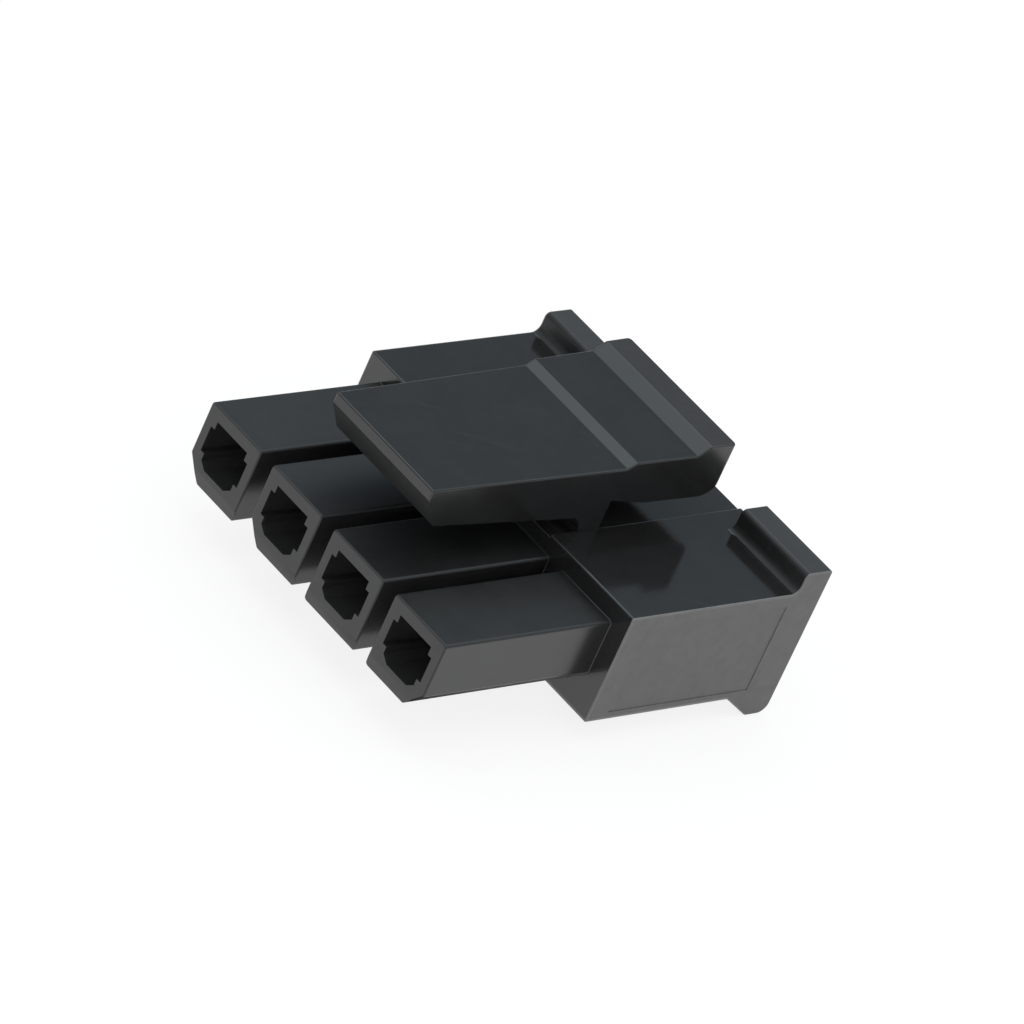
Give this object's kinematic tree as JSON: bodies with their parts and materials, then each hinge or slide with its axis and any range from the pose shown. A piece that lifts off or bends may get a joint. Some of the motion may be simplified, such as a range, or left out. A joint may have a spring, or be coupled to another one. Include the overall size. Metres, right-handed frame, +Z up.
{
  "type": "wire to board connector housing",
  "caption": "Moulded connector housing with a row of square keyed silos, a flexing top latch with a thumb bar, guard bars and a rear foot.",
  "frame": {"origin": "under the middle of the housing, level with the underside of the rear foot", "axes": "+X along the row of silos, +Y from the mating face to the wire side, +Z up towards the latch"},
  "size_m": [0.0128, 0.0142, 0.0072],
  "materials": {
    "housing": "glossy moulded faces, fine matte texture on the side walls"
  },
  "bodies": {
    "root": {"housing": "housing"}
  },
  "joints": []
}
